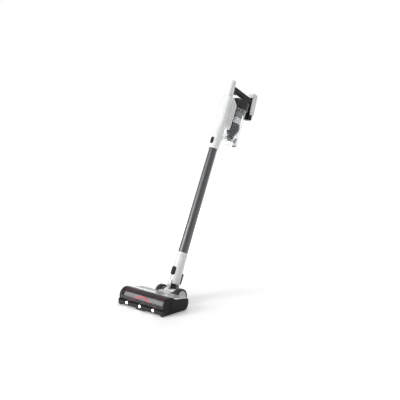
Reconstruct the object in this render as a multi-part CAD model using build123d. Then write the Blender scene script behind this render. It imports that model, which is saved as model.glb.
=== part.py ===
from build123d import *
import math
import os

# Cordless stick vacuum. Millimetres. +Z up, the head's front faces -Y, the stick leans back
# towards +Y. The origin is the middle of the felt strip under the head, on the floor.

# ---------------------------------------------------------------- driving dimensions
HEAD_W = 270.0          # width of the floor head
HEAD_FRONT = -109.0     # front of the bumper
HEAD_REAR = 39.0        # rear of the side panels
WHEEL_R = 33.0          # rear wheels, coaxial with the neck's pitch axis
PIVOT_Y = 70.0
PIVOT_Z = WHEEL_R
LEAN = 23.9             # angle of the stick from the vertical, degrees

ROLLER_Y = -65.0        # axis of the brush roller
ROLLER_Z = 34.0
WINDOW_R = 36.0         # outside of the window and the end discs
AXLE_R = 4.0            # steel axles of the roller and the rear wheels

NECK_LOW = 44.0         # along the stick, from the pitch axis
NECK_TOP = 184.0
WAND_L = 480.0
WAND_TOP = NECK_TOP + WAND_L
WAND_R_LOW = 21.0
WAND_R_TOP = 18.0
UNIT_L = 333.0          # hand unit, from the wand's top to the spine's end

RUN = 0.3               # clearance of sliding plastic parts
PIN_RUN = 0.05          # radial clearance of pins

HALF_W = HEAD_W / 2

os.makedirs("parts", exist_ok=True)
written = []


# ---------------------------------------------------------------- helpers
def block(x0, x1, y0, y1, z0, z1):
    """A box from its corners."""
    return Pos((x0 + x1) / 2, (y0 + y1) / 2, (z0 + z1) / 2) * Box(x1 - x0, y1 - y0, z1 - z0)


def cyl_x(r, x0, x1, y, z):
    """A cylinder along X."""
    return Pos((x0 + x1) / 2, y, z) * Rot(0, 90, 0) * Cylinder(r, x1 - x0)


def cyl_y(r, y0, y1, x, z):
    """A cylinder along Y."""
    return Pos(x, (y0 + y1) / 2, z) * Rot(90, 0, 0) * Cylinder(r, y1 - y0)


def cyl_z(r, z0, z1, x=0, y=0):
    """A cylinder along Z."""
    return Pos(x, y, (z0 + z1) / 2) * Cylinder(r, z1 - z0)


def tube_z(r_out, r_in, z0, z1, x=0, y=0):
    """A tube along Z."""
    return cyl_z(r_out, z0, z1, x, y) - cyl_z(r_in, z0 - 1, z1 + 1, x, y)


def cone_z(r0, r1, z0, z1, x=0, y=0):
    """A frustum along Z, with radius r0 at z0 and r1 at z1."""
    return Pos(x, y, (z0 + z1) / 2) * Cone(r0, r1, z1 - z0)


def across_x(points, x0, x1):
    """A YZ outline extruded from x0 to x1."""
    face = make_face(Polyline(*[(0, y, z) for y, z in points], close=True))
    return Pos(x0, 0, 0) * extrude(face, amount=x1 - x0, dir=(1, 0, 0))


def arc_wall(r_out, r_in, x0, x1, a0, a1):
    """A wall round the roller's axis between two angles, measured from +Y towards +Z."""
    ring = cyl_x(r_out, x0, x1, ROLLER_Y, ROLLER_Z) - cyl_x(r_in, x0 - 1, x1 + 1, ROLLER_Y, ROLLER_Z)
    reach = 3 * r_out
    steps = max(2, math.ceil((a1 - a0) / 60) + 1)
    fan = [(ROLLER_Y, ROLLER_Z)]
    for i in range(steps):
        a = math.radians(a0 + (a1 - a0) * i / (steps - 1))
        fan.append((ROLLER_Y + reach * math.cos(a), ROLLER_Z + reach * math.sin(a)))
    return ring & across_x(fan, x0, x1)


def rounded_bar(half_x, y0, y1, z0, z1, corner):
    """A bar along Z with a rounded XY section."""
    section = Pos(0, (y0 + y1) / 2) * RectangleRounded(2 * half_x, y1 - y0, corner)
    return Pos(0, 0, z0) * extrude(section, amount=z1 - z0)


def slot_y(half_x, half_z, y0, y1, z):
    """An upright stadium, extruded along Y."""
    body = block(-half_x, half_x, y0, y1, z - half_z + half_x, z + half_z - half_x)
    return body + cyl_y(half_x, y0, y1, 0, z - half_z + half_x) + cyl_y(half_x, y0, y1, 0, z + half_z - half_x)


def soften(shape, radius, pick):
    """Fillets the edges that pick chooses, or leaves them sharp where a fillet can't be made."""
    edges = [e for e in shape.edges() if pick(e)]
    try:
        return fillet(edges, radius) if edges else shape
    except Exception:
        print("left sharp:", radius, len(edges))
        return shape


def write(name, shape):
    """Writes one node."""
    solids = shape.solids()
    export_step(Compound(solids) if len(solids) > 1 else solids[0], f"parts/{name}.step")
    written.append(name)


stick = Pos(0, PIVOT_Y, PIVOT_Z) * Rot(-LEAN, 0, 0)   # stick frame: Z along the stick, Y back


def write_stick(name, shape):
    """Writes one node that is modelled upright in the stick frame."""
    write(name, stick * shape)


# ================================================================ floor head
def chassis():
    """Sole plate with the suction mouth, brush chamber, rear walls and the neck's arms."""
    sole = block(-131, 131, -98, 34, 2, 5) - block(-121.5, 121.5, -93, -46, 0, 6)
    chamber = arc_wall(WINDOW_R, 33.8, -131, 131, -62, 68)
    rear = block(-127.6, 127.6, 31, 34, 5, 42)
    ribs = block(-78, -75.6, -30, 31, 5, 42) + block(75.6, 78, -30, 31, 5, 42)
    roof = cyl_x(WINDOW_R, -131, 131, ROLLER_Y, ROLLER_Z)
    body = sole + chamber + rear + (ribs - roof)
    for side in (-1, 1):
        end = cyl_x(WINDOW_R - 2.4, side * 129.4 - 1.6, side * 129.4 + 1.6, ROLLER_Y, ROLLER_Z)
        end = end + block(side * 129.4 - 1.6, side * 129.4 + 1.6, -98, 28, 2, 10)
        body += end - cyl_x(12, side * 129.4 - 2, side * 129.4 + 2, ROLLER_Y, ROLLER_Z)
        arm = block(side * 35.2 - 4.8, side * 35.2 + 4.8, 34, PIVOT_Y, 12, 46)
        arm += cyl_x(17, side * 35.2 - 4.8, side * 35.2 + 4.8, PIVOT_Y, PIVOT_Z)
        body += arm - cyl_x(4, side * 35.2 - 6, side * 35.2 + 6, PIVOT_Y, PIVOT_Z)
    # air path from the chamber to the neck's barrel
    shroud = block(-30.4, 30.4, -31, PIVOT_Y, 8, 48.2) - cyl_x(24.5, -31, 31, PIVOT_Y, PIVOT_Z)
    shroud -= block(-31, 31, PIVOT_Y - 15.5, PIVOT_Y + 1, 0, 60)
    body += shroud - cyl_x(WINDOW_R, -131, 131, ROLLER_Y, ROLLER_Z)
    body -= block(-20, 20, -40, PIVOT_Y - 5, 16, 44)
    body -= block(-127.7, -119.6, -40, -20, 14, 46)     # slot of the belt
    for side in (-1, 1):                     # pockets for the small front rollers
        body += block(side * 112 - 10.4, side * 112 + 10.4, -1, 17, 2, 12.5)
        body -= block(side * 112 - 6.4, side * 112 + 6.4, 1.6, 14.4, 1, 11.6)
        body -= cyl_x(1.5 + PIN_RUN, side * 112 - 9.2, side * 112 + 9.2, 8, 5.5)
    return body


def bumper():
    """Front bar with two low air arches and three LED openings."""
    front = across_x([(HEAD_FRONT, 8), (HEAD_FRONT, 22), (-105, 27), (-98.4, 27), (-98.4, 0.6), (-106, 0.6)],
                     -HALF_W, HALF_W)
    wide = block(-HALF_W, HALF_W, -98.4, -94, 6, 18)
    bar = front + (wide - cyl_x(WINDOW_R + 0.6, -140, 140, ROLLER_Y, ROLLER_Z))
    bar -= block(-131.6, 131.6, -98.5, -93, 0, 28)
    for centre in (-72, 72):
        arch = across_x([(-112, -2), (-112, 9.5), (-90, 9.5), (-90, -2)], -50, 50)
        arch = soften(arch, 9, lambda e: e.center().Z > 9 and abs(e.center().X) > 49)
        bar -= Pos(centre, 0, 0) * arch
    for x in (-80, 0, 80):
        bar -= cyl_y(5.2, -112, -95, x, 17.5)
    bar -= cyl_x(WINDOW_R + 0.2, -140, 140, ROLLER_Y, ROLLER_Z)
    return soften(bar, 3.5, lambda e: abs(abs(e.center().X) - HALF_W) < 0.1 and e.center().Y < -104)


def led_lenses():
    """Three round lenses in the bumper."""
    lens = None
    for x in (-80, 0, 80):
        one = cyl_y(5.2, -109.6, -101, x, 17.5)
        one = soften(one, 1.2, lambda e: e.center().Y < -109)
        lens = one if lens is None else lens + one
    return lens


def window():
    """Clear quarter tube over the roller."""
    return arc_wall(WINDOW_R, 33.8, -130.8, 130.8, 68.4, 187.6)


def roller_bearing(side):
    """Boss that carries one end of the roller's axle."""
    boss = cyl_x(11.7, *sorted((side * 127.9, side * 131.3)), ROLLER_Y, ROLLER_Z)
    return boss - cyl_x(AXLE_R + PIN_RUN, *sorted((side * 127, side * 131.2)), ROLLER_Y, ROLLER_Z)


def side_panel(side):
    """Black end of the head: a disc round the roller's end and a panel behind it."""
    x0, x1 = sorted((side * 131.2, side * HALF_W))
    disc = cyl_x(WINDOW_R, x0, x1, ROLLER_Y, ROLLER_Z) - block(x0 - 1, x1 + 1, -110, -20, -10, 2)
    low = across_x([(-93.8, 2), (-60, 2), (-60, 20), (-93.8, 20)], x0, x1)
    panel = across_x([(-60, 2), (18, 2), (33, 10), (HEAD_REAR, 26), (HEAD_REAR, 42), (34, 48.2),
                      (9, 52), (-32, 56.3), (-60, 50)], x0, x1)
    back = across_x([(-26, 10.2), (29, 10.2), (31, 12), (HEAD_REAR, 27), (HEAD_REAR, 40), (34, 47), (-26, 52)],
                    *sorted((side * 127.8, side * 131.2)))
    back -= block(-128, 128, -30, 34.2, 0, 60)
    whole = disc + low + panel + back
    whole -= block(*sorted((side * 127, side * 136)), 33.9, 41, 45.9, 60)
    if side > 0:
        whole -= cyl_x(30.4, x0 - 0.1, x1 + 0.1, ROLLER_Y, ROLLER_Z)
    else:
        whole += roller_bearing(side)
    edge = side * HALF_W
    return soften(whole, 1, lambda e: abs(e.center().X - edge) < 0.01 and e.length > 20)


def roller_plug():
    """Round plug in the right side panel: a quarter turn frees the roller."""
    disc = cyl_x(30, 131.2, HALF_W, ROLLER_Y, ROLLER_Z)
    disc = soften(disc, 1.2, lambda e: abs(e.center().X - HALF_W) < 0.01)
    finger = block(133.4, 137, ROLLER_Y - 9, ROLLER_Y + 9, ROLLER_Z - 22, ROLLER_Z + 22)
    rib = block(133.0, HALF_W - 0.2, ROLLER_Y - 2.2, ROLLER_Y + 2.2, ROLLER_Z - 21, ROLLER_Z + 21)
    finger = finger & cyl_x(24, 130, 140, ROLLER_Y, ROLLER_Z)
    return disc - finger + rib + roller_bearing(1)


COVER_TOP = [(-51.4, 67.7), (-40, 65.4), (-20, 60.6), (10, 54.8), (30, 51.4), (40, 47.4)]


def top_cover():
    """Glossy shell from the window to the rear, with skirts over the side panels."""
    outer = COVER_TOP + [(40, 44), (34.2, 44)]
    inner = [(34.2, 48.6), (28, 49.4), (9, 52.4), (-21, 58.2), (-40, 62.8), (-52.2, 65.2)]
    sheet = across_x(outer + inner, -HALF_W, HALF_W)
    skirt = [(-51.4, 67.7), (-40, 65.4), (-20, 60.6), (10, 54.8), (30, 51.4), (34, 50), (-31.6, 57),
             (-38, 59.6), (-46, 65)]
    for side in (-1, 1):
        x0, x1 = sorted((side * 131.4, side * HALF_W))
        sheet += across_x(skirt, x0, x1) - cyl_x(WINDOW_R + 0.2, x0 - 1, x1 + 1, ROLLER_Y, ROLLER_Z)
    sheet -= cyl_x(WINDOW_R + 0.15, -140, 140, ROLLER_Y, ROLLER_Z)
    for side in (-1, 1):                     # lower lip ends before the panels, and clears the tyres
        sheet -= block(*sorted((side * 126, side * 140)), 34.3, 61, 40, 46)
        sheet -= cyl_x(WHEEL_R + 0.6, *sorted((side * 43.4, side * 68.6)), PIVOT_Y, PIVOT_Z)
    sheet -= block(-40.4, 40.4, 33.9, 41, 43, 50.2)
    tongue = across_x([(28, 51), (28, 52.1), (36, 52.6), (50, 51.8), (52, 50.4), (34, 50.2)], -34, 34)
    return sheet + (tongue - cyl_x(24.9, -40, 40, PIVOT_Y, PIVOT_Z))


def brush_core():
    """Rigid tube of the roller with a steel axle through it."""
    core = cyl_x(22, -116, 121, ROLLER_Y, ROLLER_Z) - cyl_x(19.6, -113, 118, ROLLER_Y, ROLLER_Z)
    axle = cyl_x(AXLE_R, -131, 131, ROLLER_Y, ROLLER_Z)
    neck = cyl_x(8, -119.5, -115, ROLLER_Y, ROLLER_Z)
    return core + axle + neck + roller_pulley()


def brush_pile():
    """Soft grey sleeve round the core."""
    return cyl_x(29.5, -115.5, 120.5, ROLLER_Y, ROLLER_Z) - cyl_x(22, -116, 121, ROLLER_Y, ROLLER_Z)


STRIP_N = 4             # V-shaped rows round the roller
STRIP_TURN = 80.0       # how far a row turns from the middle to an end, degrees
STRIP_START = 128.0     # where the first row's point stands, degrees from the rear
STRIP_SLANT = 20.0      # slant of a row against the roller's axis


def bristle_strips():
    """Rows of bristles that run from both ends to a point in the middle."""
    rows = None
    pieces = 7
    for n in range(STRIP_N):
        for side in (-1, 1):
            for i in range(pieces):
                mid = (i + 0.5) / pieces
                angle = STRIP_START + 360 / STRIP_N * n + STRIP_TURN * mid
                length = 118 / pieces * 0.86
                x = side * 118 * mid + 2.5
                lug = Pos(x, 0, 31) * Rot(0, 0, -side * STRIP_SLANT) * Box(length, 3, 3)
                lug = lug - cyl_x(29.5, -140, 140, 0, 0)
                lug = Pos(0, ROLLER_Y, ROLLER_Z) * Rot(angle - 90, 0, 0) * lug
                rows = lug if rows is None else rows + lug
    return rows


def roller_pulley():
    """Toothed pulley moulded on the roller's left end."""
    wheel = cyl_x(14, -127.4, -119, ROLLER_Y, ROLLER_Z) - cyl_x(4, -128, -118, ROLLER_Y, ROLLER_Z)
    for i in range(24):
        a = math.radians(15 * i)
        wheel -= cyl_x(0.8, -128, -118, ROLLER_Y + 14 * math.cos(a), ROLLER_Z + 14 * math.sin(a))
    return wheel


MOTOR_Y, MOTOR_Z = -8.0, 26.0


def motor_pulley():
    """Small toothed pulley and the brush motor's shaft."""
    wheel = cyl_x(7, -127.4, -119, MOTOR_Y, MOTOR_Z) + cyl_x(2, -120, -82, MOTOR_Y, MOTOR_Z)
    for i in range(12):
        a = math.radians(30 * i)
        wheel -= cyl_x(0.8, -128, -118, MOTOR_Y + 7 * math.cos(a), MOTOR_Z + 7 * math.sin(a))
    return wheel


def drive_belt():
    """Belt round both pulleys."""
    def loop(grow, x0, x1):
        big = cyl_x(14 + grow, x0, x1, ROLLER_Y, ROLLER_Z)
        small = cyl_x(7 + grow, x0, x1, MOTOR_Y, MOTOR_Z)
        run_y, run_z = MOTOR_Y - ROLLER_Y, MOTOR_Z - ROLLER_Z
        span = math.hypot(run_y, run_z)
        base = math.atan2(run_z, run_y)
        lift = math.acos((14 - 7) / span)
        def at(cy, cz, r, a):
            return (cy + r * math.cos(a), cz + r * math.sin(a))
        corners = [at(ROLLER_Y, ROLLER_Z, 14 + grow, base + lift), at(MOTOR_Y, MOTOR_Z, 7 + grow, base + lift),
                   at(MOTOR_Y, MOTOR_Z, 7 + grow, base - lift), at(ROLLER_Y, ROLLER_Z, 14 + grow, base - lift)]
        return big + small + across_x(corners, x0, x1)
    return loop(1.8, -126.6, -120.2) - loop(0.3, -130, -110)


def brush_motor():
    """Motor of the roller, behind the chamber at the left, with its foot."""
    can = cyl_x(15, -117, -82, MOTOR_Y, MOTOR_Z) + block(-100, -84, MOTOR_Y - 10, MOTOR_Y + 10, 5, 14)
    return can - cyl_x(2 + PIN_RUN, -118, -81, MOTOR_Y, MOTOR_Z)


def tyre(side):
    """Soft tyre of a rear wheel."""
    x0, x1 = sorted((side * 44, side * 68))
    ring = cyl_x(WHEEL_R, x0, x1, PIVOT_Y, PIVOT_Z)
    ring = soften(ring, 5, lambda e: e.length > 100)
    return ring - cyl_x(25, x0 - 1, x1 + 1, PIVOT_Y, PIVOT_Z)


def hub(side):
    """Hub of a rear wheel: a rim, a web and a domed outer face."""
    x0, x1 = sorted((side * 44.5, side * 67.4))
    whole = cyl_x(25, x0, x1, PIVOT_Y, PIVOT_Z)
    whole -= cyl_x(21.5, *sorted((side * 43, side * 60)), PIVOT_Y, PIVOT_Z)
    whole += cyl_x(8, *sorted((side * 44.5, side * 61)), PIVOT_Y, PIVOT_Z)
    outer = side * 67.4
    whole = soften(whole, 1.6, lambda e: abs(e.center().X - outer) < 0.01 and e.length > 100)
    groove = cyl_x(19, *sorted((side * 66.6, side * 70)), PIVOT_Y, PIVOT_Z)
    groove -= cyl_x(17.8, *sorted((side * 66, side * 71)), PIVOT_Y, PIVOT_Z)
    return whole - groove - cyl_x(4 + PIN_RUN, *sorted((side * 40, side * 66)), PIVOT_Y, PIVOT_Z)


def neck_axles():
    """Two steel pins that carry the barrel and the rear wheels."""
    return cyl_x(4, 25, 65.5, PIVOT_Y, PIVOT_Z) + cyl_x(4, -65.5, -25, PIVOT_Y, PIVOT_Z)


def front_rollers():
    """Two small rollers under the sole, each with its own stub axles."""
    pair = None
    for side in (-1, 1):
        one = cyl_x(5.5, side * 112 - 5.5, side * 112 + 5.5, 8, 5.5)
        one += cyl_x(1.5, side * 112 - 9, side * 112 + 9, 8, 5.5)
        pair = one if pair is None else pair + one
    return pair


def sole_felt():
    """Felt strip behind the suction mouth, the lowest face of the sole."""
    strip = block(-100, 100, -14, 14, 0, 2)
    return soften(strip, 4, lambda e: abs(abs(e.center().X) - 100) < 0.1 and abs(e.center().Z - 1) < 0.1)


def head_screws():
    """Screw heads under the sole."""
    heads = None
    for x in (-90, -30, 30, 90):
        head = cyl_z(3.2, 1.0, 2.0, x, 24) - block(x - 2, x + 2, 23.6, 24.4, 0.5, 1.5)
        heads = head if heads is None else heads + head
    return heads


# ================================================================ neck (stick frame)
BALL_Z = 30.0           # centre of the ball and the side swivel, above the pitch axis
BALL_R = 18.5


def yoke():
    """Hollow barrel on the pitch axis with the ball of the side swivel on top."""
    barrel = Rot(0, 90, 0) * Cylinder(24, 58.6)
    barrel = soften(barrel, 2, lambda e: e.length > 100)
    ball = Pos(0, 0, BALL_Z) * Sphere(BALL_R)
    body = barrel + ball
    body -= cyl_z(12.5, -4, 60)
    body -= Rot(LEAN, 0, 0) * block(-18, 18, -30, 0, -15, 9)
    body -= Rot(0, 90, 0) * Cylinder(4 + PIN_RUN, 80)
    body -= cyl_y(3.5, -24, -13, 0, BALL_Z) + cyl_y(3.5, 13, 24, 0, BALL_Z)
    return body


def swivel_pins():
    """Pins of the side swivel, fixed in the ball."""
    return cyl_y(3.5, -29.4, -13.4, 0, BALL_Z) + cyl_y(3.5, 13.4, 29.4, 0, BALL_Z)


def neck_outer():
    """Outside of the tapered neck housing."""
    return cone_z(25, 22.5, NECK_LOW, NECK_TOP)


BUTTON_Z = 98.0
CONTACT_TURNS = (60, 120)


def neck_housing():
    """Tapered housing between the swivel and the wand."""
    body = neck_outer()
    body = soften(body, 3, lambda e: abs(e.center().Z - NECK_LOW) < 0.1 and e.length > 100)
    for side in (-1, 1):
        y0, y1 = sorted((side * 24.7, side * 29.5))
        lobe = block(-9, 9, y0, y1, BALL_Z, NECK_LOW + 12) + cyl_y(9, y0, y1, 0, BALL_Z)
        top = block(-9, 9, *sorted((side * 20, side * 24.8)), NECK_LOW + 0.5, NECK_LOW + 10)
        body += lobe + (top & neck_outer())
        body -= cyl_y(3.5 + PIN_RUN, *sorted((side * 24, side * 30)), 0, BALL_Z)
    body -= Pos(0, 0, BALL_Z) * Sphere(BALL_R + 0.6)
    body -= cyl_z(16.6, NECK_LOW - 1, NECK_TOP + 1)
    body -= cyl_z(19.0 + RUN, NECK_TOP - 46, NECK_TOP + 1)
    body -= slot_y(9.4, 18.9, -32, -18.6, BUTTON_Z)
    for turn in CONTACT_TURNS:               # sockets of the contact pins
        a = math.radians(turn)
        body -= cyl_z(1.1, NECK_TOP - 54, NECK_TOP - 45, 17.8 * math.cos(a), 17.8 * math.sin(a))
    return body


def neck_button():
    """Oval button that frees the neck from the wand."""
    key = slot_y(9, 18.5, -30, -21.4, BUTTON_Z)
    return soften(key, 2, lambda e: abs(e.center().Y + 30) < 0.05)


def neck_rear_cover():
    """Long dark cover on the neck's rear."""
    cover = rounded_bar(12, 18, 35.5, 50, 96, 5)
    cover = cover - neck_outer() - block(-9.1, 9.1, 18, 29.6, 40, NECK_LOW + 12.1)
    return soften(cover, 2, lambda e: abs(e.center().Z - 96) < 0.1 and e.center().Y > 26)


def swivel_caps():
    """Round caps over the swivel pins."""
    caps = None
    for side in (-1, 1):
        cap = cyl_y(7, *sorted((side * 29.5, side * 31.3)), 0, BALL_Z)
        face = side * 31.3
        cap = soften(cap, 0.8, lambda e: abs(e.center().Y - face) < 0.05)
        caps = cap if caps is None else caps + cap
    return caps


# ================================================================ wand (stick frame)
WAND_WALL = 1.6
CONNECTOR_R = 16.2      # top connector, which slides into the hand unit's collar


def wand_tube():
    """Drawn, slightly tapered tube."""
    outer = cone_z(WAND_R_LOW, WAND_R_TOP, NECK_TOP + 3, WAND_TOP)
    inner = cone_z(WAND_R_LOW - WAND_WALL, WAND_R_TOP - WAND_WALL, NECK_TOP + 3, WAND_TOP)
    return outer - inner


def wand_bottom_connector():
    """Plastic end that slides into the neck."""
    body = cyl_z(19.0, NECK_TOP - 44, NECK_TOP + 30) + cyl_z(21.4, NECK_TOP, NECK_TOP + 3)
    return body - cyl_z(16.6, NECK_TOP - 60, NECK_TOP + 60)


def wand_top_connector():
    """Plastic end that slides into the hand unit."""
    body = cyl_z(CONNECTOR_R, WAND_TOP - 40, WAND_TOP + 44) + cyl_z(18.6, WAND_TOP, WAND_TOP + 3)
    return body - cyl_z(14.2, WAND_TOP - 60, WAND_TOP + 60)


def wand_wiring():
    """Conduit of the brush motor's wires, inside the tube, and the contact pins at both ends."""
    pins = cyl_z(2.4, NECK_TOP + 31, WAND_TOP - 41, 0, 13.6)
    for z0, z1, x in ((NECK_TOP - 52, NECK_TOP - 44, 17.8), (WAND_TOP + 44, WAND_TOP + 51, 15.2)):
        for turn in CONTACT_TURNS:
            a = math.radians(turn)
            pins += cyl_z(0.8, z0, z1, x * math.cos(a), x * math.sin(a))
    return pins


# ================================================================ hand unit (stick frame)
def up(z):
    """Height above the wand's top, in the stick frame."""
    return WAND_TOP + z


DUCT_R = 23.2
COLLAR_GAP = 3.3        # the wand's flange sits under the collar
BOX_LOW, BOX_TOP = 112.0, 240.0
BOX_FRONT, BOX_BACK, BOX_HALF = -20.5, 43.0, 25.5
ARM_HALF = 17.5
INLET_Z = 168.0         # air crosses from the duct to the cup here
CUP_Y, CUP_R, CUP_WALL = 87.0, 38.5, 2.2
CUP_LOW, CUP_TOP = 76.0, 233.0
MOTOR_R, MOTOR_LOW, MOTOR_TOP = 43.0, 233.6, 276.4
GRIP_LOW, GRIP_TOP, GRIP_HALF = 291.0, 316.0, 13.5
HOLDER_Y, HOLDER_TILT = 146.0, 5.0
DISPLAY_LOW, DISPLAY_TOP = 318.0, 328.4


def duct_tube():
    """Suction duct with the collar that takes the wand."""
    body = cone_z(22.0, DUCT_R, up(COLLAR_GAP), up(24)) + cyl_z(DUCT_R, up(24), up(BOX_LOW))
    body = soften(body, 1.2, lambda e: abs(e.center().Z - up(COLLAR_GAP)) < 0.1)
    body += cyl_z(17.4, up(BOX_LOW), up(205))
    body += cyl_y(14, 0, BOX_BACK + 4, 0, up(INLET_Z))
    body -= cyl_z(CONNECTOR_R + RUN, up(0), up(46)) + cyl_z(15.0, up(40), up(202))
    body -= cyl_y(11.5, 0, BOX_BACK + 8, 0, up(INLET_Z))
    body -= slot_y(7.4, 15.4, -30, -18.6, up(37))
    for turn in CONTACT_TURNS:               # sockets of the contact pins
        a = math.radians(turn)
        body -= cyl_z(2, up(44), up(56), 15.2 * math.cos(a), 15.2 * math.sin(a))
    return body


def nozzle_button():
    """Oval button that frees the wand or a tool."""
    key = slot_y(7, 15, -26.2, -21.2, up(37))
    return soften(key, 1.6, lambda e: abs(e.center().Y + 26.2) < 0.05)


def spine_solid(shrink):
    """Outside of the spine, or its hollow when shrunk."""
    low, top = up(BOX_LOW) + shrink, up(BOX_TOP) - shrink
    front, back, half = BOX_FRONT + shrink, BOX_BACK - shrink, BOX_HALF - shrink
    section = rounded_bar(half, front, back + 14, low, up(262), max(17 - shrink, 4))
    side = across_x([(front - 5, low), (back - 5, low), (back, low + 8), (back, up(231) - shrink),
                     (10 - shrink, up(256) - shrink), (front + 4, up(256) - shrink), (front - 5, up(246))],
                    -half, half)
    box = section & side
    arm = rounded_bar(ARM_HALF - shrink, -18 + shrink, 26, up(236), up(UNIT_L) - shrink, max(9 - shrink, 3))
    arm_side = across_x([(-30, up(236)), (9 - shrink, up(236)), (9 - shrink, up(262)), (4.5 - shrink, up(318)),
                         (4 - shrink, up(UNIT_L) - 4 - shrink), (0 - shrink, up(UNIT_L) - shrink),
                         (-30, up(UNIT_L) - shrink)], -30, 30)
    return box + (arm & arm_side)


def spine_housing():
    """White spine: a hollow box round the duct and a slim arm above it."""
    outer = spine_solid(0)
    outer = soften(outer, 3, lambda e: e.center().Z > up(UNIT_L) - 0.2)
    body = outer - spine_solid(2.2)
    body -= cyl_z(17.4 + 0.05, up(BOX_LOW) - 1, up(BOX_LOW) + 4)
    body -= cyl_y(14.05, BOX_BACK - 6, BOX_BACK + 2, 0, up(INLET_Z))
    for side in (-1, 1):
        body -= side_pocket(side)
    body -= front_strip_solid(0)
    body -= block(-12.2, 12.2, 2.6, 6, up(DISPLAY_LOW), up(DISPLAY_TOP))
    body -= block(-6.2, 6.2, -12.2, -5.8, up(UNIT_L) - 4, up(UNIT_L) + 1)
    return body


def side_pocket(side):
    """Shallow recess in the box's side that takes the trim panel."""
    x0, x1 = sorted((side * (BOX_HALF - 1.0), side * (BOX_HALF + 1)))
    return across_x([(2, up(126)), (37, up(126)), (37, up(226)), (2, up(241))], x0, x1)


def side_trim(side):
    """Trim panel on the box's side."""
    x0, x1 = sorted((side * (BOX_HALF - 1.0), side * (BOX_HALF + 0.5)))
    panel = across_x([(2.2, up(126.2)), (36.8, up(126.2)), (36.8, up(225.9)), (2.2, up(240.7))], x0, x1)
    face = side * (BOX_HALF + 0.5)
    return soften(panel, 0.4, lambda e: abs(e.center().X - face) < 0.01)


def front_strip_solid(gap):
    """Long strip set into the spine's front."""
    strip = rounded_bar(9 - gap, -40, 40, up(122) + gap, up(UNIT_L - 11) - gap, 4)
    face, bed = BOX_FRONT - 0.5, BOX_FRONT + 1.1
    return strip & across_x([(face, up(100)), (bed, up(100)), (bed, up(243)), (-16.9, up(258)), (-16.9, up(340)),
                             (-18.5, up(340)), (-18.5, up(257.6)), (face, up(242.4))], -20, 20)


def front_strip():
    """The strip itself."""
    return front_strip_solid(0.1)


def rear_frame():
    """Dark frame behind the box that guides the cup and carries the inlet."""
    plate = rounded_bar(20, BOX_BACK, 47.6, up(122), up(MOTOR_LOW - 0.2), 2)
    plate -= cyl_y(14.05, 40, 50, 0, up(INLET_Z))
    return plate


def inlet_seal():
    """Rubber ring between the inlet and the cup."""
    ring = cyl_y(18, 47.6, 56, 0, up(INLET_Z)) - cyl_y(12, 40, 60, 0, up(INLET_Z))
    ring -= cyl_z(CUP_R + RUN, up(100), up(230), 0, CUP_Y)
    return ring


def control_board():
    """Circuit board in the arm."""
    return block(-13, 13, -9.6, -8, up(262), up(UNIT_L - 12))


def display_lens():
    """Dark lens of the charge display, on the arm's back above the grip."""
    lens = block(-12, 12, 2.7, 4.7, up(DISPLAY_LOW + 0.2), up(DISPLAY_TOP - 0.2))
    return soften(lens, 2, lambda e: abs(abs(e.center().X) - 12) < 0.1 and abs(e.center().Y - 3.7) < 0.1)


def mode_button():
    """Oblong button on the end of the spine."""
    key = block(-6, 6, -12, -6, up(UNIT_L) - 3.6, up(UNIT_L) + 1.2)
    return soften(key, 0.8, lambda e: e.center().Z > up(UNIT_L) + 1.1)


def motor_housing():
    """Dark barrel above the cup, with a web to the spine and slots for the exhaust."""
    body = cyl_z(MOTOR_R, up(MOTOR_LOW), up(MOTOR_TOP), 0, CUP_Y)
    body = soften(body, 9, lambda e: abs(e.center().Z - up(MOTOR_TOP)) < 0.1)
    web = block(-16, 16, 24, 62, up(MOTOR_LOW), up(258))
    body += web - spine_solid(-0.02)
    inner = cyl_z(MOTOR_R - 2.4, up(MOTOR_LOW + 3), up(MOTOR_TOP - 2.6), 0, CUP_Y)
    inner = soften(inner, 7, lambda e: abs(e.center().Z - up(MOTOR_TOP - 2.6)) < 0.1)
    body -= inner
    body -= cyl_z(16, up(MOTOR_LOW - 1), up(MOTOR_LOW + 4), 0, CUP_Y)
    spider = tube_z(MOTOR_R - 2, 20, up(MOTOR_LOW + 21), up(MOTOR_LOW + 24), 0, CUP_Y)
    for i in range(8):
        a = math.radians(45 * i)
        spider -= cyl_z(5, up(MOTOR_LOW + 20), up(MOTOR_LOW + 25), 30 * math.cos(a), CUP_Y + 30 * math.sin(a))
    body += spider
    for i in range(24):
        turn = Pos(0, CUP_Y, 0) * Rot(0, 0, 15 * i)
        body -= turn * block(16, 29, -1.1, 1.1, up(MOTOR_TOP - 4), up(MOTOR_TOP + 1))
    return body


def fan_motor():
    """Brushless motor."""
    low, top = up(MOTOR_LOW + 15), up(MOTOR_LOW + 35)
    can = cyl_z(20, low, top, 0, CUP_Y)
    can = soften(can, 2, lambda e: e.length > 100)
    return can - cyl_z(2 + PIN_RUN, low - 1, top + 1, 0, CUP_Y)


def impeller():
    """Fan wheel on the motor's shaft."""
    low = up(MOTOR_LOW + 5)
    wheel = cyl_z(26, low, low + 1.6, 0, CUP_Y) + cyl_z(6, low, low + 8, 0, CUP_Y)
    wheel += cyl_z(2, low, low + 30, 0, CUP_Y)
    for i in range(9):
        blade = Rot(0, 0, 40 * i) * Pos(15, 0, 0) * Rot(0, 0, 35) * Box(20, 1.2, 6.4)
        wheel += Pos(0, CUP_Y, low + 4.6) * blade
    return wheel


def exhaust_filter():
    """Filter ring under the exhaust slots."""
    return tube_z(32, 6, up(MOTOR_TOP - 7), up(MOTOR_TOP - 2.7), 0, CUP_Y)


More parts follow.
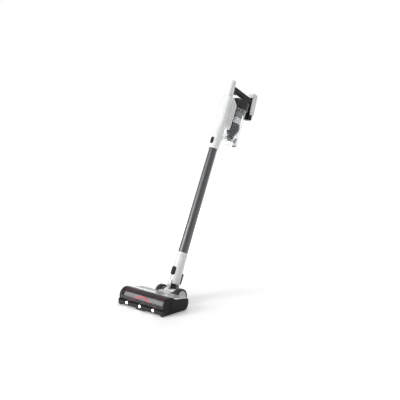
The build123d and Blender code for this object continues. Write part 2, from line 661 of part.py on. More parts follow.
def grip():
    """Black grip between the spine and the battery."""
    mid = (GRIP_LOW + GRIP_TOP) / 2
    section = Pos(0, 0) * RectangleRounded(2 * GRIP_HALF, GRIP_TOP - GRIP_LOW, 10)
    hollow = RectangleRounded(2 * GRIP_HALF - 6, GRIP_TOP - GRIP_LOW - 6, 6)
    frame = Pos(0, 0, up(mid)) * Rot(90, 0, 0)
    bar = frame * extrude(section, amount=-160) - frame * extrude(hollow, amount=-170)
    bar -= spine_solid(-0.02)
    bar = bar & block(-20, 20, 0, 200, up(280), up(330))
    bar -= holder_space()
    bar -= block(-7, 7, 10, 50, up(GRIP_LOW - 2), up(GRIP_LOW + 4))
    cheeks = block(-10.4, 10.4, 12, 20, up(GRIP_LOW + 0.2), up(GRIP_LOW + 5.6))
    cheeks -= block(-7, 7, 10, 22, up(GRIP_LOW), up(GRIP_LOW + 6))
    bar += cheeks
    return bar - cyl_x(1.25 + PIN_RUN, -8.7, 8.7, TRIGGER_Y, up(TRIGGER_Z))


TRIGGER_Y, TRIGGER_Z = 16.0, 293.6


def trigger():
    """Finger lever under the grip."""
    blade = across_x([(12.6, up(295.8)), (48, up(293.6)), (48.5, up(288)), (40, up(284)), (30, up(282.6)),
                      (20, up(284.4)), (13, up(289.6))], -6.6, 6.6)
    blade = soften(blade, 1.4, lambda e: abs(abs(e.center().X) - 6.6) < 0.05 and e.center().Z < up(290))
    return blade + cyl_x(1.25, -8.6, 8.6, TRIGGER_Y, up(TRIGGER_Z))


# the battery end is tilted a little, so it has its own frame
battery_frame = Pos(0, HOLDER_Y, up(GRIP_TOP)) * Rot(HOLDER_TILT, 0, 0)


def holder_space():
    """Everything behind the holder's front face."""
    return battery_frame * block(-60, 60, 0, 90, -140, 60)


def battery_holder():
    """Dark rail that carries the battery, with a foot under it and a web to the motor housing."""
    plate = rounded_bar(15, 0, 6, -100, 4, 2)
    rib = block(-5, 5, 6, 9, -66, -12) + block(-8, 8, 9, 11.4, -66, -12)
    foot = rounded_bar(13, 3, 29, -102, -76.3, 4)
    foot -= across_x([(15, -104), (37, -104), (37, -92)], -20, 20)
    foot -= block(-6.4, 6.4, 23, 37, -92.4, -83.6)
    local = plate + rib + foot
    body = battery_frame * local
    web = block(-8, 8, 120, 160, up(MOTOR_LOW + 4), up(MOTOR_LOW + 22)) - holder_space()
    web -= cyl_z(MOTOR_R + 0.02, up(200), up(290), 0, CUP_Y)
    return body + web


def battery_shell():
    """White battery pack that slides on the rail and wraps round its plate."""
    body = rounded_bar(19, 0.2, 32, -76, 26, 7)
    body = soften(body, 6, lambda e: abs(e.center().Z - 26) < 0.1)
    body -= block(-15.4, 15.4, -1, 6.4, -77, 4.4)
    body -= block(-5.4, 5.4, 5, 9.2, -77, -11.6) + block(-8.4, 8.4, 8.7, 11.8, -77, -11.6)
    hollow = rounded_bar(17.2, 13.6, 30.2, -74, 12, 4)
    body -= hollow
    body -= cyl_z(2.8, 15, 27, 0, 20)
    body -= cyl_y(3.4, 31.4, 33, 0, -20)
    return battery_frame * body


def battery_cells():
    """Two cells side by side."""
    cells = cyl_z(8.2, -68, -3, -8.4, 21.9) + cyl_z(8.2, -68, -3, 8.4, 21.9)
    return battery_frame * cells


def battery_button():
    """Button in the holder's foot that frees the battery."""
    key = block(-6, 6, 25.4, 30.4, -92, -84)
    key = soften(key, 1, lambda e: abs(e.center().Y - 30.4) < 0.05)
    return battery_frame * key


# ---------------------------------------------------------------- dust cup
def dust_cup():
    """Clear cup with its inlet and the lugs of the lid and the latch."""
    cup = tube_z(CUP_R, CUP_R - CUP_WALL, up(CUP_LOW), up(CUP_TOP), 0, CUP_Y)
    cup -= cyl_y(11.5, 40, CUP_Y, 0, up(INLET_Z))
    for side in (-1, 1):
        lug = block(*sorted((side * 8, side * 13)), 43, 54, up(CUP_LOW), up(CUP_LOW + 9))
        lug += cyl_x(3, *sorted((side * 8, side * 13)), 46, up(73))
        lug += block(*sorted((side * 8, side * 13)), 43, 49, up(73), up(CUP_LOW))
        catch = block(*sorted((side * 8.4, side * 11.4)), 120, 130, up(88), up(97))
        cup += lug - cyl_z(CUP_R - 0.5, up(60), up(120), 0, CUP_Y)
        cup += catch - cyl_z(CUP_R - 0.5, up(60), up(120), 0, CUP_Y)
    cup -= cyl_x(1.25, -20, 20, 46, up(73))
    cup -= cyl_x(1.25, -20, 20, 127.6, up(92.5))
    return cup


def cyclone_head():
    """Dark carrier under the motor, which holds the mesh and the filter."""
    head = tube_z(CUP_R - CUP_WALL - 0.2, 25, up(CUP_TOP - 12), up(CUP_TOP - 3), 0, CUP_Y)
    head += tube_z(28, 25, up(190), up(CUP_TOP - 12), 0, CUP_Y)
    return head + tube_z(28, 20, up(188), up(191), 0, CUP_Y)


def mesh_screen():
    """Steel screen, pierced by rows of small holes."""
    screen = tube_z(27, 26.2, up(160), up(188), 0, CUP_Y)
    for row in range(3):
        for i in range(10):
            turn = Pos(0, CUP_Y, up(166 + 8 * row)) * Rot(0, 0, 36 * i + 18 * (row % 2))
            screen -= turn * Pos(26.6, 0, 0) * Rot(0, 90, 0) * Cylinder(2.2, 4)
    return screen


CONE_PROFILE = [(84, 14.5), (104, 16.5), (112, 20), (120, 25.5), (130, 29.8), (144, 31), (160, 27)]


def cyclone_cone():
    """Dark bowl and narrow cone under the screen, one turned shell."""
    shell = None
    for (z0, r0), (z1, r1) in zip(CONE_PROFILE, CONE_PROFILE[1:]):
        part = cone_z(r0, r1, up(z0), up(z1), 0, CUP_Y) - cone_z(r0 - 2, r1 - 2, up(z0), up(z1), 0, CUP_Y)
        shell = part if shell is None else shell + part
    return shell


def foam_filter():
    """Round filter in the carrier."""
    foam = cyl_z(24.8, up(200), up(CUP_TOP - 1), 0, CUP_Y)
    return foam - cyl_z(8, up(199), up(CUP_TOP - 8), 0, CUP_Y)


LID_Y, LID_Z = 46.0, 73.0


def cup_lid():
    """Lid at the cup's lower end, with its knuckle."""
    lid = cyl_z(CUP_R, up(66.4), up(75.7), 0, CUP_Y)
    lid = soften(lid, 2, lambda e: abs(e.center().Z - up(66.4)) < 0.1)
    lid -= cyl_z(CUP_R - 4, up(69), up(77), 0, CUP_Y)
    knuckle = cyl_x(3, -7.6, 7.6, LID_Y, up(LID_Z)) + block(-7.6, 7.6, LID_Y, 56, up(70), up(72.4))
    lid += knuckle - cyl_z(CUP_R - 3, up(60), up(80), 0, CUP_Y)
    return lid - cyl_x(1.25 + PIN_RUN, -10, 10, LID_Y, up(LID_Z))


LATCH_Y, LATCH_Z = 127.6, 92.5


def lid_latch():
    """Sprung lever that holds the lid shut."""
    lever = across_x([(125.9, up(64)), (130.4, up(64)), (131.6, up(67)), (131.2, up(90)), (132.6, up(104)),
                      (130.6, up(106)), (128.2, up(97)), (125.9, up(88))], -8, 8)
    return lever - cyl_x(1.25 + PIN_RUN, -10, 10, LATCH_Y, up(LATCH_Z))


def cup_pins():
    """Pins of the lid and its latch, held in the cup's lugs."""
    return cyl_x(1.25, -13, 13, LID_Y, up(LID_Z)) + cyl_x(1.25, -11.4, 11.4, LATCH_Y, up(LATCH_Z))


# ================================================================ write every node
write("chassis", chassis())
write("bumper", bumper())
write("led_lenses", led_lenses())
write("window", window())
for label, way in (("left", -1), ("right", 1)):
    write(f"side_panel_{label}", side_panel(way))
    write(f"tyre_{label}", tyre(way))
    write(f"hub_{label}", hub(way))
write("roller_plug", roller_plug())
write("top_cover", top_cover())
write("brush_core", brush_core())
write("brush_pile", brush_pile())
write("bristle_strips", bristle_strips())
write("motor_pulley", motor_pulley())
write("drive_belt", drive_belt())
write("brush_motor", brush_motor())
write("neck_axles", neck_axles())
write("front_rollers", front_rollers())
write("sole_felt", sole_felt())
write("head_screws", head_screws())

write_stick("yoke", yoke())
write_stick("swivel_pins", swivel_pins())
write_stick("neck_housing", neck_housing())
write_stick("neck_button", neck_button())
write_stick("neck_rear_cover", neck_rear_cover())
write_stick("swivel_caps", swivel_caps())

write_stick("wand_tube", wand_tube())
write_stick("wand_bottom_connector", wand_bottom_connector())
write_stick("wand_top_connector", wand_top_connector())
write_stick("wand_wiring", wand_wiring())

write_stick("duct_tube", duct_tube())
write_stick("nozzle_button", nozzle_button())
write_stick("spine_housing", spine_housing())
write_stick("front_strip", front_strip())
write_stick("side_trims", side_trim(-1) + side_trim(1))
write_stick("rear_frame", rear_frame())
write_stick("inlet_seal", inlet_seal())
write_stick("control_board", control_board())
write_stick("display_lens", display_lens())
write_stick("mode_button", mode_button())
write_stick("motor_housing", motor_housing())
write_stick("fan_motor", fan_motor())
write_stick("impeller", impeller())
write_stick("exhaust_filter", exhaust_filter())
write_stick("grip", grip())
write_stick("trigger", trigger())
write_stick("battery_holder", battery_holder())
write_stick("battery_shell", battery_shell())
write_stick("battery_cells", battery_cells())
write_stick("battery_button", battery_button())

write_stick("dust_cup", dust_cup())
write_stick("cyclone_head", cyclone_head())
write_stick("mesh_screen", mesh_screen())
write_stick("cyclone_cone", cyclone_cone())
write_stick("foam_filter", foam_filter())
write_stick("cup_lid", cup_lid())
write_stick("lid_latch", lid_latch())
write_stick("cup_pins", cup_pins())

print(len(written), "nodes")
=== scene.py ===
import bpy
import math
import random
from mathutils import Matrix, Vector


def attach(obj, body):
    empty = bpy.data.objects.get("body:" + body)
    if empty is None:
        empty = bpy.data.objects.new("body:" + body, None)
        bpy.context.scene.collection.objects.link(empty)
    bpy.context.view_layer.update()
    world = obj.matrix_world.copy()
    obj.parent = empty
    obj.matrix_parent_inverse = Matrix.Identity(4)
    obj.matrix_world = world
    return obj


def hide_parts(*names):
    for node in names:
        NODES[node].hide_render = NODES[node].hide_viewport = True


# Cordless stick vacuum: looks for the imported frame. Metres, +Z up, the head's front faces -Y.
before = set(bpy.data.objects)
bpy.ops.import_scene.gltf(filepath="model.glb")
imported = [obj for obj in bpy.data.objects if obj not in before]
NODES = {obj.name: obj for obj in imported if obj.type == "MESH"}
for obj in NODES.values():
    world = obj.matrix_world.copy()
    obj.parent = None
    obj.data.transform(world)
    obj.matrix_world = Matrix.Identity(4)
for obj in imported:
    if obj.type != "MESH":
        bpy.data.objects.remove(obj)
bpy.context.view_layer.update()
random.seed(7)

LEAN = math.radians(23.9)
PIVOT = Vector((0, 0.070, 0.033))
ALONG = Vector((0, math.sin(LEAN), math.cos(LEAN)))      # up the stick
BACK = Vector((0, math.cos(LEAN), -math.sin(LEAN)))      # out of the stick's rear
SIDE = Vector((1, 0, 0))
UNIT = 0.664                                             # foot of the hand unit, along the stick
TILT = math.radians(23.9 - 5)
PACK_UP = Vector((0, math.sin(TILT), math.cos(TILT)))
PACK_BACK = Vector((0, math.cos(TILT), -math.sin(TILT)))
ROLLER = Vector((0, -0.065, 0.034))                      # middle of the brush roller's axis
PILE_MIDDLE, PILE_HALF = 0.0025, 0.118                   # the roller's soft sleeve, across
WINDOW_HALF, WINDOW_IN = 0.1296, 0.03375                 # half length and inner radius of the window
BUMPER_FACE, LAMP_Z = -0.1088, 0.0175                    # where the lamps sit
FLOOR_HALF, FLOOR_Z = 9, -0.0004                         # a little under the wheels
SKY = 0.29                                               # how strongly the sky lights the object


def stick(x, v, z):
    """A point given across, behind and along the stick, in metres."""
    return PIVOT + SIDE * x + BACK * v + ALONG * z


PACK = stick(0, 0.146, UNIT + 0.316)


def pack_point(x, v, z):
    """A point in the tilted frame of the battery."""
    return PACK + SIDE * x + PACK_BACK * v + PACK_UP * z


# ---------------------------------------------------------------- materials
class Mat:
    """A node material being built."""

    def __init__(self, name):
        self.m = bpy.data.materials.new(name)
        self.m.use_nodes = True
        self.nt = self.m.node_tree
        self.nt.nodes.clear()
        self.out = self.node("OutputMaterial")
        self.b = self.node("BsdfPrincipled")
        self.link(self.b.outputs[0], self.out.inputs[0])
        self.p = self.node("TexCoord").outputs["Object"]

    def node(self, kind, **settings):
        """A new shader node, such as TexNoise, with its settings."""
        n = self.nt.nodes.new("ShaderNode" + kind)
        for key, value in settings.items():
            setattr(n, key, value)
        return n

    def link(self, a, b):
        self.nt.links.new(a, b)

    def put(self, socket, value):
        """Feed a socket with another socket or with a number."""
        if isinstance(value, bpy.types.NodeSocket):
            self.link(value, socket)
        else:
            socket.default_value = value

    def math(self, op, a, b=0.0, clamp=False):
        n = self.node("Math", operation=op, use_clamp=clamp)
        self.put(n.inputs[0], a)
        self.put(n.inputs[1], b)
        return n.outputs[0]

    def dot(self, vector, offset=0.0):
        """Distance along a direction, in metres."""
        n = self.node("VectorMath", operation="DOT_PRODUCT")
        self.link(self.p, n.inputs[0])
        n.inputs[1].default_value = vector
        return self.math("SUBTRACT", n.outputs["Value"], offset)

    def stretched(self, scale):
        """Coordinates scaled along each axis, for streaks."""
        n = self.node("Mapping")
        self.link(self.p, n.inputs["Vector"])
        n.inputs["Scale"].default_value = scale
        return n.outputs[0]

    def noise(self, scale, detail=3.0, vector=None, rough=0.55):
        n = self.node("TexNoise")
        self.link(vector or self.p, n.inputs["Vector"])
        n.inputs["Scale"].default_value = scale
        n.inputs["Detail"].default_value = detail
        n.inputs["Roughness"].default_value = rough
        return n.outputs[0]

    def span(self, value, lo, hi, to_lo=0.0, to_hi=1.0):
        """The value's range from lo to hi, mapped to another range and held at its ends."""
        n = self.node("MapRange")
        self.put(n.inputs["Value"], value)
        for key, number in (("From Min", lo), ("From Max", hi), ("To Min", to_lo), ("To Max", to_hi)):
            n.inputs[key].default_value = number
        return n.outputs[0]

    def mix(self, fac, a, b):
        """Blend two colours, each a socket or three numbers."""
        n = self.node("Mix", data_type="RGBA")
        self.put(n.inputs[0], fac)
        self.put(n.inputs[6], a if isinstance(a, bpy.types.NodeSocket) else (*a, 1))
        self.put(n.inputs[7], b if isinstance(b, bpy.types.NodeSocket) else (*b, 1))
        return n.outputs[2]

    def bump(self, height, strength, distance, normal=None):
        n = self.node("Bump")
        self.link(height, n.inputs["Height"])
        n.inputs["Strength"].default_value = strength
        n.inputs["Distance"].default_value = distance
        if normal is not None:
            self.link(normal, n.inputs["Normal"])
        return n.outputs[0]

    def line(self, coordinate, place, half):
        """1 on a thin line where the coordinate is near place."""
        gap = self.math("ABSOLUTE", self.math("SUBTRACT", coordinate, place))
        return self.span(gap, half, half * 0.55)

    def union(self, masks):
        """The largest of several masks."""
        whole = masks[0]
        for m in masks[1:]:
            whole = self.math("MAXIMUM", whole, m)
        return whole

    def edges(self, radius):
        """A softened normal, and a mask that is 1 near sharp edges, where a moulding is rubbed."""
        soft = self.node("Bevel", samples=4)
        soft.inputs["Radius"].default_value = radius
        flat = self.node("NewGeometry").outputs["Normal"]
        n = self.node("VectorMath", operation="DOT_PRODUCT")
        self.link(soft.outputs[0], n.inputs[0])
        self.link(flat, n.inputs[1])
        return soft.outputs[0], self.span(n.outputs["Value"], 0.995, 0.93)


def plastic(name, rgb, rough, coat=0.0, grain=0.3, grain_scale=2600, wear=0.35, seams=(), dust=0.05, spec=0.5,
            tint=None):
    """Moulded plastic: fine grain, cloudy gloss, rubbed edges and parting lines."""
    m = Mat(name)
    cloud = m.noise(22, 4)
    fine = m.noise(grain_scale, 2)
    scuff = m.noise(240, 5, m.stretched((1, 1, 0.25)), 0.7)
    lighter = tuple(min(1.0, c * 1.25 + 0.02) for c in rgb)
    darker = tuple(c * 0.93 for c in rgb)
    colour = m.mix(m.span(cloud, 0.35, 0.65), darker, rgb)
    soft, rubbed = m.edges(0.0007)
    rubbed = m.math("MULTIPLY", rubbed, m.span(scuff, 0.42, 0.62, 0.0, wear))
    colour = m.mix(rubbed, colour, lighter)
    colour = m.mix(m.math("MULTIPLY", m.span(m.noise(900, 1), 0.68, 0.75), dust), colour, (0.5, 0.5, 0.48))
    height = m.math("ADD", m.math("MULTIPLY", fine, grain), m.math("MULTIPLY", scuff, 0.12))
    if seams:
        lines = m.union([m.line(m.dot(d, o), at, half) for d, o, at, half in seams])
        colour = m.mix(m.math("MULTIPLY", lines, 0.8), colour, tuple(c * 0.25 for c in rgb))
        height = m.math("SUBTRACT", height, m.math("MULTIPLY", lines, 3.0))
    if tint:
        colour = tint(m, colour)
    m.link(colour, m.b.inputs["Base Color"])
    m.link(m.span(m.math("ADD", cloud, m.math("MULTIPLY", scuff, 0.6)), 0.5, 1.1, rough * 0.85, rough * 1.2),
           m.b.inputs["Roughness"])
    m.link(m.bump(height, 0.35, 0.00012, soft), m.b.inputs["Normal"])
    m.b.inputs["Coat Weight"].default_value = coat
    m.b.inputs["Coat Roughness"].default_value = 0.06
    m.b.inputs["Specular IOR Level"].default_value = spec
    return m.m


def metal(name, rgb, rough, streak=(40, 40, 3000), bands=None, metallic=1.0):
    """Drawn or turned metal with fine streaks."""
    m = Mat(name)
    streaks = m.noise(1.0, 4, m.stretched(streak), 0.7)
    cloud = m.noise(14, 3)
    dull, bright = tuple(c * 0.86 for c in rgb), tuple(min(1, c * 1.12) for c in rgb)
    colour = m.mix(m.span(streaks, 0.3, 0.7), dull, bright)
    if bands:
        colour = bands(m, colour)
    soft, rubbed = m.edges(0.0005)
    colour = m.mix(m.math("MULTIPLY", rubbed, 0.5), colour, tuple(min(1, c * 1.7 + 0.05) for c in rgb))
    m.link(colour, m.b.inputs["Base Color"])
    m.b.inputs["Metallic"].default_value = metallic
    uneven = m.math("ADD", streaks, cloud)
    m.link(m.span(uneven, 0.6, 1.4, rough * 0.8, rough * 1.25), m.b.inputs["Roughness"])
    m.link(m.bump(streaks, 0.25, 0.00005, soft), m.b.inputs["Normal"])
    return m.m


def rubber(name, rgb, rough=0.75, tread=None):
    """Matte rubber with a fine bloom."""
    m = Mat(name)
    bloom = m.noise(60, 5)
    fine = m.noise(3200, 2)
    m.link(m.mix(m.span(bloom, 0.4, 0.7), rgb, tuple(c * 1.6 + 0.012 for c in rgb)), m.b.inputs["Base Color"])
    m.link(m.span(bloom, 0.3, 0.7, rough * 0.85, min(1, rough * 1.15)), m.b.inputs["Roughness"])
    height = fine if tread is None else m.math("SUBTRACT", fine, m.math("MULTIPLY", tread(m), 4.0))
    m.link(m.bump(height, 0.4, 0.0002), m.b.inputs["Normal"])
    return m.m


def cloth(name, rgb, rgb2, scale, rough=0.95, sheen=0.4, stretch=(1, 1, 1)):
    """Pile, felt or foam."""
    m = Mat(name)
    fibre = m.noise(scale, 6, m.stretched(stretch), 0.75)
    cloud = m.noise(35, 3)
    colour = m.mix(m.span(fibre, 0.35, 0.65), rgb, rgb2)
    colour = m.mix(m.span(cloud, 0.4, 0.7, 0.0, 0.3), colour, tuple(c * 0.7 for c in rgb))
    m.link(colour, m.b.inputs["Base Color"])
    m.link(m.span(fibre, 0.3, 0.7, rough * 0.9, min(1.0, rough * 1.05)), m.b.inputs["Roughness"])
    m.link(m.bump(fibre, 0.8, 0.0008), m.b.inputs["Normal"])
    m.b.inputs["Sheen Weight"].default_value = sheen
    m.b.inputs["Sheen Roughness"].default_value = 0.5
    return m.m


def clear(name, tint, rough=0.03, haze=0.05, shade=None):
    """Clear moulded wall that lets lamps through, with faint haze and flow marks."""
    m = Mat(name)
    flow = m.noise(30, 4, m.stretched((1, 1, 0.4)))
    colour = m.mix(m.span(flow, 0.4, 0.7, 0.0, haze), tint, tuple(c * 0.9 for c in tint))
    if shade:
        colour = shade(m, colour)
    m.link(colour, m.b.inputs["Base Color"])
    m.b.inputs["Transmission Weight"].default_value = 1.0
    m.b.inputs["IOR"].default_value = 1.46
    m.link(m.span(m.noise(80, 4), 0.4, 0.75, rough, rough * 2.2), m.b.inputs["Roughness"])
    m.link(m.bump(flow, 0.1, 0.0002), m.b.inputs["Normal"])
    see = m.node("BsdfTransparent")
    m.link(colour, see.inputs["Color"])
    pick = m.node("MixShader")
    m.link(m.node("LightPath").outputs["Is Shadow Ray"], pick.inputs[0])
    m.link(m.b.outputs[0], pick.inputs[1])
    m.link(see.outputs[0], pick.inputs[2])
    m.link(pick.outputs[0], m.out.inputs[0])
    return m.m


def glow(name, rgb, strength):
    """A lit lens with a faint moulded pattern."""
    m = Mat(name)
    grain = m.noise(900, 3)
    m.link(m.mix(m.span(grain, 0.35, 0.65), tuple(c * 0.9 for c in rgb), rgb), m.b.inputs["Base Color"])
    m.link(m.span(grain, 0.3, 0.7, 0.12, 0.25), m.b.inputs["Roughness"])
    m.b.inputs["Emission Color"].default_value = (*rgb, 1)
    m.b.inputs["Emission Strength"].default_value = strength
    m.link(m.bump(grain, 0.2, 0.0002), m.b.inputs["Normal"])
    return m.m


def angle_around(m, axis_a, off_a, axis_b, off_b):
    """Angle of a point round an axis, in turns from 0 to 1."""
    a = m.math("ARCTAN2", m.dot(axis_a, off_a), m.dot(axis_b, off_b))
    return m.math("ADD", m.math("DIVIDE", a, 2 * math.pi), 0.5)


P_BACK = PIVOT.dot(BACK)
P_UP = PIVOT.dot(ALONG)


def up_seam(z, half=0.0003):
    """A parting line across the stick, z metres above the pitch axis."""
    return (ALONG, P_UP, z, half)


def back_seam(v, half=0.0003):
    """A parting line along the stick, v metres behind its axis."""
    return (BACK, P_BACK, v, half)


def wand_seam_and_painted_reflection(m, colour):
    """Anodised tube with a painted dark reflection line along each side and a seam at the rear."""
    turn = angle_around(m, SIDE, 0.0, BACK, P_BACK)
    # lines at 0.13 and 0.87 are a painted reflection; the line at 0.5 is the rear seam
    lines = m.union([m.line(turn, at, 0.009) for at in (0.13, 0.5, 0.87)])
    return m.mix(m.math("MULTIPLY", lines, 0.75), colour, (0.03, 0.03, 0.033))


def mesh_holes(name):
    """Etched steel screen: rows of fine dark holes."""
    m = Mat(name)
    turn = angle_around(m, SIDE, 0.0, BACK, P_BACK + 0.087)
    rows = m.math("DIVIDE", m.dot(ALONG, P_UP), 0.0016)
    shift = m.math("MULTIPLY", m.math("PINGPONG", m.math("FLOOR", rows), 1.0), 0.5)
    across = m.math("ADD", m.math("MULTIPLY", turn, 100.0), shift)
    du = m.math("SUBTRACT", m.math("FRACT", across), 0.5)
    dv = m.math("SUBTRACT", m.math("FRACT", rows), 0.5)
    far = m.math("SQRT", m.math("ADD", m.math("MULTIPLY", du, du), m.math("MULTIPLY", dv, dv)))
    hole = m.span(far, 0.27, 0.2)
    shade = m.noise(160, 3)
    steel = m.mix(m.span(shade, 0.3, 0.7), (0.8, 0.8, 0.81), (0.92, 0.92, 0.93))
    m.link(m.mix(hole, steel, (0.3, 0.3, 0.31)), m.b.inputs["Base Color"])
    m.b.inputs["Metallic"].default_value = 0.3
    m.link(m.span(shade, 0.3, 0.7, 0.3, 0.45), m.b.inputs["Roughness"])
    m.link(m.bump(m.math("SUBTRACT", 1.0, hole), 0.6, 0.0003), m.b.inputs["Normal"])
    return m.m


def dotted(name, rgb):
    """Soft-touch plastic of the grip, with a fine raised dot pattern."""
    m = Mat(name)
    pitch = 1 / 0.0022
    cells = m.node("TexVoronoi", feature="F1")
    m.link(m.p, cells.inputs["Vector"])
    cells.inputs["Scale"].default_value = pitch
    cells.inputs["Randomness"].default_value = 0.0
    dots = m.span(cells.outputs["Distance"], 0.32, 0.2)
    cloud = m.noise(40, 4)
    m.link(m.mix(m.span(cloud, 0.4, 0.7), rgb, tuple(c * 1.5 + 0.01 for c in rgb)), m.b.inputs["Base Color"])
    m.link(m.span(cloud, 0.3, 0.7, 0.5, 0.68), m.b.inputs["Roughness"])
    height = m.math("ADD", m.math("MULTIPLY", dots, 1.0), m.math("MULTIPLY", m.noise(3000, 2), 0.3))
    m.link(m.bump(height, 0.4, 0.0002), m.b.inputs["Normal"])
    return m.m


WHITE = (0.83, 0.835, 0.84)
white_spine = plastic("white_spine", WHITE, 0.34, 0.25, seams=[up_seam(UNIT + 0.256), back_seam(-0.0085)])
white_duct = plastic("white_duct", WHITE, 0.36, 0.2, seams=[up_seam(UNIT + 0.026)])
white_neck = plastic("white_neck", WHITE, 0.36, 0.2, seams=[up_seam(0.168), up_seam(0.062)])
white_pack = plastic("white_pack", (0.74, 0.745, 0.75), 0.38, 0.15, seams=[
    (PACK_BACK, PACK.dot(PACK_BACK), 0.0255, 0.0003), (PACK_UP, PACK.dot(PACK_UP), -0.062, 0.0003)])
white_gloss = plastic("white_gloss", (0.86, 0.865, 0.87), 0.16, 0.9, 0.1, 1400, 0.2,
                      seams=[(Vector((0, 1, 0)), 0, 0.016, 0.0003)])


def ball_painted_shade(m, colour):
    """The ball of the yoke is painted near-black where it turns inside the neck, as painted shade."""
    gap = m.node("VectorMath", operation="DISTANCE")
    m.link(m.p, gap.inputs[0])
    gap.inputs[1].default_value = stick(0, 0, 0.030)
    # painted shade: near-black within the ball, inside the neck
    return m.mix(m.span(gap.outputs["Value"], 0.0196, 0.019), colour, (0.02, 0.02, 0.022))


white_yoke = plastic("white_yoke", WHITE, 0.3, 0.3, tint=ball_painted_shade)
trim_grey = plastic("trim_grey", (0.7, 0.705, 0.71), 0.3, 0.3)
hub_grey = plastic("hub_grey", (0.66, 0.67, 0.68), 0.34, 0.3)
cap_grey = plastic("cap_grey", (0.4, 0.41, 0.43), 0.35, 0.2)
black_gloss = plastic("black_gloss", (0.006, 0.006, 0.007), 0.16, 0.25, 0.08, 1400, 0.3, dust=0.02, spec=0.3)
black_satin = plastic("black_satin", (0.009, 0.009, 0.01), 0.42, 0.0, 0.5, dust=0.03, spec=0.25)
black_side = plastic("black_side", (0.005, 0.005, 0.006), 0.34, 0.0, 0.3, dust=0.02, spec=0.25)
dark_satin = plastic("dark_satin", (0.055, 0.056, 0.06), 0.4, 0.05, 0.5)
barrel_dark = plastic("barrel_dark", (0.028, 0.028, 0.03), 0.34, 0.15, 0.3, seams=[up_seam(UNIT + 0.261)])
head_grey = plastic("head_grey", (0.2, 0.2, 0.205), 0.4, 0.1, 0.3)
cone_dark = plastic("cone_dark", (0.014, 0.014, 0.015), 0.3, 0.2, 0.3)
frame_dark = plastic("frame_dark", (0.05, 0.05, 0.055), 0.4, 0.05, 0.5)
grip_black = dotted("grip_black", (0.01, 0.01, 0.011))
board_green = plastic("board_green", (0.02, 0.15, 0.06), 0.45)
cell_blue = plastic("cell_blue", (0.08, 0.16, 0.3), 0.35)
wand_metal = metal("wand_metal", (0.17, 0.172, 0.177), 0.4, (900, 60, 26), bands=wand_seam_and_painted_reflection, metallic=0.75)
steel = metal("steel", (0.6, 0.61, 0.62), 0.25)
can_steel = metal("can_steel", (0.45, 0.46, 0.47), 0.35)
screen_steel = mesh_holes("screen_steel")


def tyre_tread(m):
    """Fine grooves across the tyre."""
    turn = angle_around(m, Vector((0, 1, 0)), PIVOT.y, Vector((0, 0, 1)), PIVOT.z)
    return m.span(m.math("PINGPONG", m.math("MULTIPLY", turn, 96.0), 0.5), 0.12, 0.06)


tyre_black = rubber("tyre_black", (0.014, 0.014, 0.015), 0.6, tyre_tread)
rubber_black = rubber("rubber_black", (0.02, 0.02, 0.022))
seal_grey = rubber("seal_grey", (0.42, 0.43, 0.44), 0.5)
pile_grey = cloth("pile_grey", (0.16, 0.162, 0.165), (0.42, 0.42, 0.42), 420, sheen=0.3, stretch=(0.3, 1, 1))
bristle_red = cloth("bristle_red", (0.6, 0.12, 0.16), (0.9, 0.36, 0.4), 700, 0.7, 0.3)
felt_dark = cloth("felt_dark", (0.06, 0.06, 0.065), (0.12, 0.12, 0.125), 1200)
foam_grey = cloth("foam_grey", (0.16, 0.17, 0.18), (0.3, 0.31, 0.33), 1500, sheen=0.1)
cup_clear = clear("cup_clear", (0.93, 0.94, 0.95))


def slope(degrees):
    """Height over depth of a line that rises by this angle."""
    return math.tan(math.radians(degrees))


def window_painted_shade(m, colour):
    """Painted shade: the window is tinted dark under the cover and along its foot, where shade falls, and
    nearly clear between.

    The edges of the clear part are angles above the roller's axis, seen from the front.
    """
    height, depth = m.dot(Vector((0, 0, 1)), ROLLER.z), m.dot(Vector((0, 1, 0)), ROLLER.y)
    lift = m.math("DIVIDE", height, m.math("MAXIMUM", m.math("ABSOLUTE", depth), 0.0005))
    top = m.math("MAXIMUM", m.span(lift, slope(41), slope(45)), m.math("GREATER_THAN", depth, 0.0))
    foot = m.span(lift, slope(13), slope(11.5))
    # painted shade: the dark tint under the cover and along the foot
    return m.mix(m.math("MAXIMUM", top, foot), colour, (0.26, 0.235, 0.24))


# Window: a light smoke tint, darkened under the cover and along its foot as painted shade
window_smoke_painted_shade = clear("window_smoke_painted_shade", (0.78, 0.78, 0.785), 0.02, 0.1, shade=window_painted_shade)
lens_glass = plastic("lens_glass", (0.01, 0.01, 0.012), 0.08, 1.0, 0.02, 1400, 0.1, dust=0.01)
led_white = glow("led_white", (1.0, 0.98, 0.94), 5.0)
led_ring = metal("led_ring", (0.8, 0.8, 0.8), 0.12)
light_on = glow("light_on", (0.75, 0.9, 1.0), 1.5)

